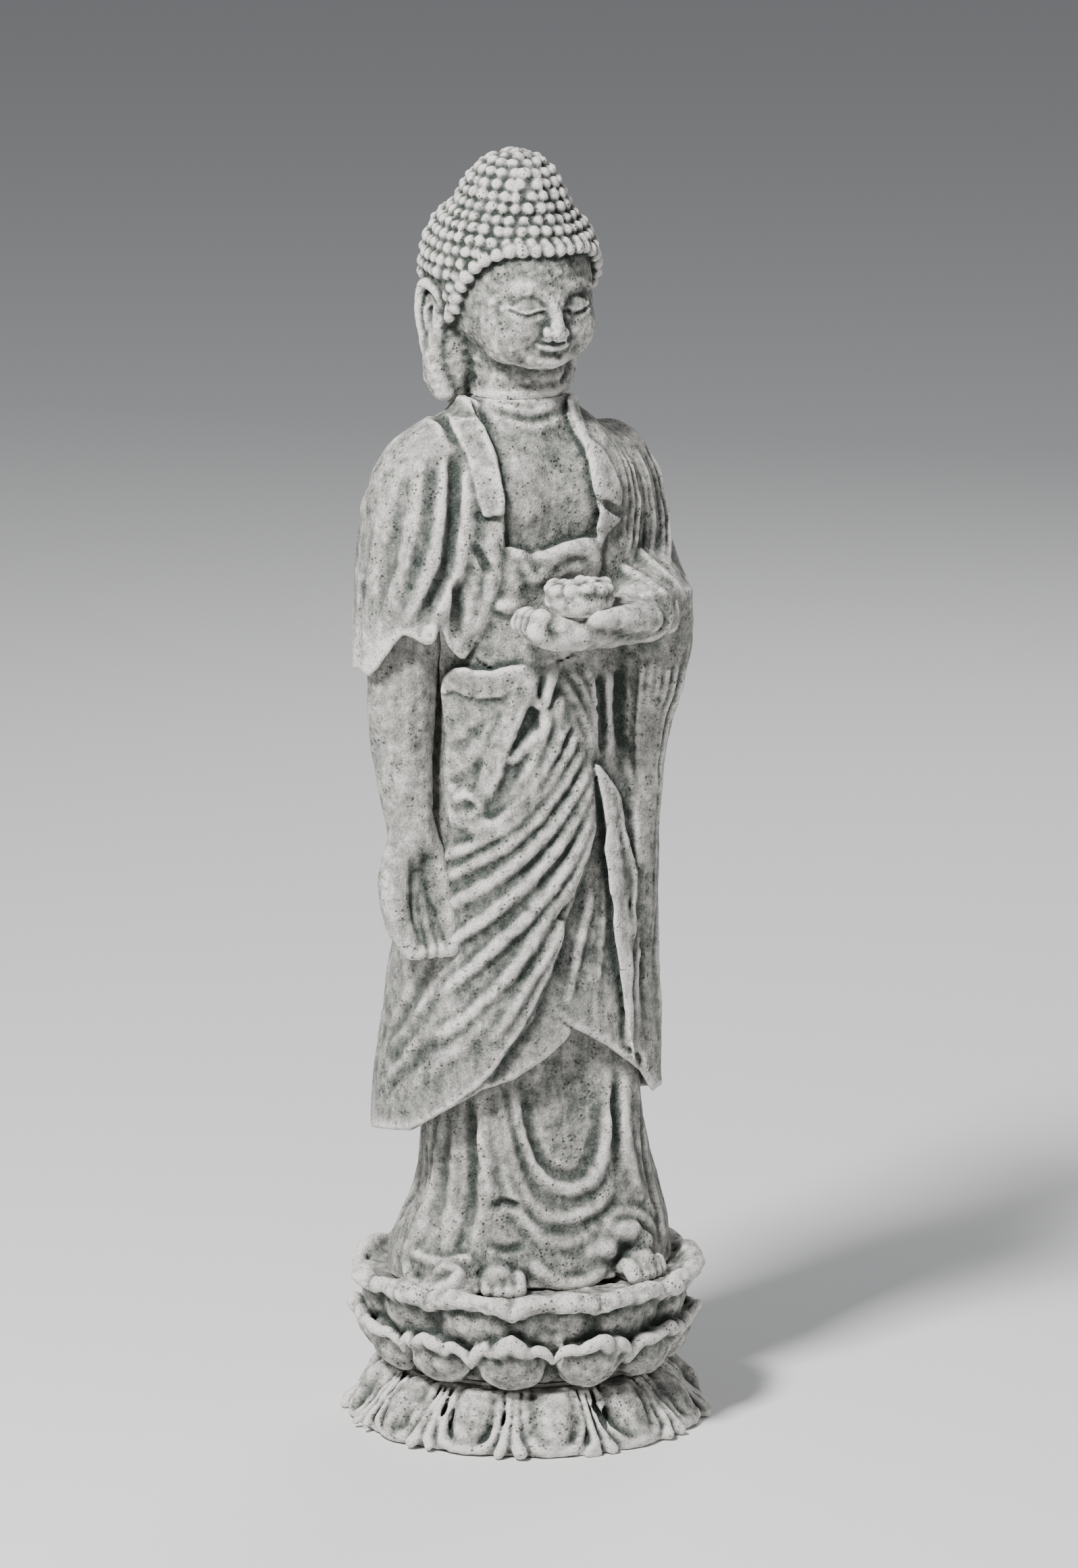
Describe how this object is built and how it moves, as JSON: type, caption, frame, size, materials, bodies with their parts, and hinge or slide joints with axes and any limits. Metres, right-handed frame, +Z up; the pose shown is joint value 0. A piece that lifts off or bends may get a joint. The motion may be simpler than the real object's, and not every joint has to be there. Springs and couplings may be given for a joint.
{
  "type": "standing buddha garden statue",
  "caption": "Standing robed Buddha in cast stone, one arm lowered and one hand holding an alms bowl, on a round double lotus pedestal.",
  "frame": {"origin": "centre of the flat underside of the lotus pedestal, on the ground", "axes": "+Z up through the figure to the top of the head; -Y is the way the figure faces; +X is the figure's left"},
  "size_m": [0.144, 0.144, 0.52],
  "materials": {
    "cast_stone": "weathered light grey cast stone, pitted, pale on raised edges and darker in the folds",
    "steel_rod": "plain drawn steel rod",
    "mortar": "matte cement mortar"
  },
  "bodies": {
    "root": {"lotus_foot": "cast_stone", "lotus_bowl": "cast_stone", "under_robe": "cast_stone", "robed_body": "cast_stone", "right_forearm": "cast_stone", "left_hand": "cast_stone", "alms_bowl": "cast_stone", "head": "cast_stone", "spine_rod": "steel_rod", "neck_dowel": "steel_rod", "right_arm_rod": "steel_rod", "left_arm_rod": "steel_rod", "bowl_pin": "steel_rod", "right_leg_rod": "steel_rod", "left_leg_rod": "steel_rod", "pedestal_pin_1": "steel_rod", "pedestal_pin_2": "steel_rod", "pedestal_pin_3": "steel_rod", "pedestal_bed": "mortar", "figure_bed": "mortar", "robe_bed": "mortar", "neck_bed": "mortar", "bowl_bed": "mortar"}
  },
  "joints": []
}
